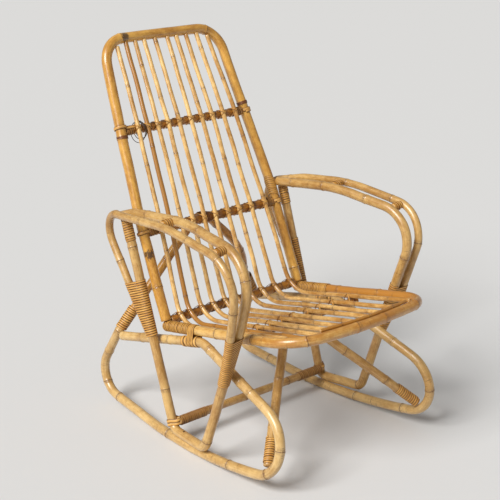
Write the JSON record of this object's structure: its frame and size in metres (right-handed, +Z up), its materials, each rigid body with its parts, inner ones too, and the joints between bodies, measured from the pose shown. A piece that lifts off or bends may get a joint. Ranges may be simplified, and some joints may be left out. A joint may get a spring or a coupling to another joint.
{
  "type": "cane rocking chair",
  "caption": "Rocking chair of bent honey-coloured cane, with a slatted back and seat, looped arms and rockers, bound with cane peel.",
  "frame": {"origin": "floor level, under the middle of the chair's bounding box", "axes": "+Z up, +X to the left of a person sitting in the chair, +Y from the seat's front to its back"},
  "size_m": [0.6767, 0.8455, 1.024],
  "materials": {
    "honey_cane": "smooth glossy natural cane",
    "slat_cane": "thin natural cane, satin",
    "dark_cane": "dark brown cane, satin",
    "cane_peel": "wound strips of cane peel",
    "dark_strand": "thin dark strand"
  },
  "bodies": {
    "root": {"arm_front_spacer_left": "honey_cane", "arm_front_spacer_right": "honey_cane", "arm_leg_left": "honey_cane", "arm_leg_right": "honey_cane", "arm_middle_spacer_left": "honey_cane", "arm_middle_spacer_right": "honey_cane", "back_hoop": "honey_cane", "brace_apex_lashing": "cane_peel", "brace_lashing_left": "cane_peel", "brace_lashing_right": "cane_peel", "front_arm_lashing_left": "cane_peel", "front_arm_lashing_right": "cane_peel", "front_strut_hoop": "honey_cane", "loose_coil": "dark_strand", "lower_cross_rail": "dark_cane", "lower_cross_rail_wrap_left": "cane_peel", "lower_cross_rail_wrap_right": "cane_peel", "outer_arm_left": "honey_cane", "outer_arm_right": "honey_cane", "rear_arm_lashing_left": "cane_peel", "rear_arm_lashing_right": "cane_peel", "rear_brace_hoop": "honey_cane", "rocker_left": "honey_cane", "rocker_right": "honey_cane", "seat_cap_strip": "slat_cane", "seat_hoop": "honey_cane", "seat_middle_rail": "dark_cane", "seat_rail_wrap_left": "cane_peel", "seat_rail_wrap_right": "cane_peel", "seat_rear_rail": "dark_cane", "seat_tie_left": "cane_peel", "seat_tie_right": "cane_peel", "slat_01": "slat_cane", "slat_02": "slat_cane", "slat_03": "slat_cane", "slat_04": "slat_cane", "slat_05": "slat_cane", "slat_06": "slat_cane", "slat_07": "slat_cane", "slat_08": "slat_cane", "slat_09": "slat_cane", "slat_10": "slat_cane", "stretcher": "honey_cane", "stretcher_wrap_left": "cane_peel", "stretcher_wrap_right": "cane_peel", "strut_lashing_left": "cane_peel", "strut_lashing_right": "cane_peel", "upper_cross_rail": "dark_cane", "upper_cross_rail_wrap_left": "cane_peel", "upper_cross_rail_wrap_right": "cane_peel"}
  },
  "joints": []
}
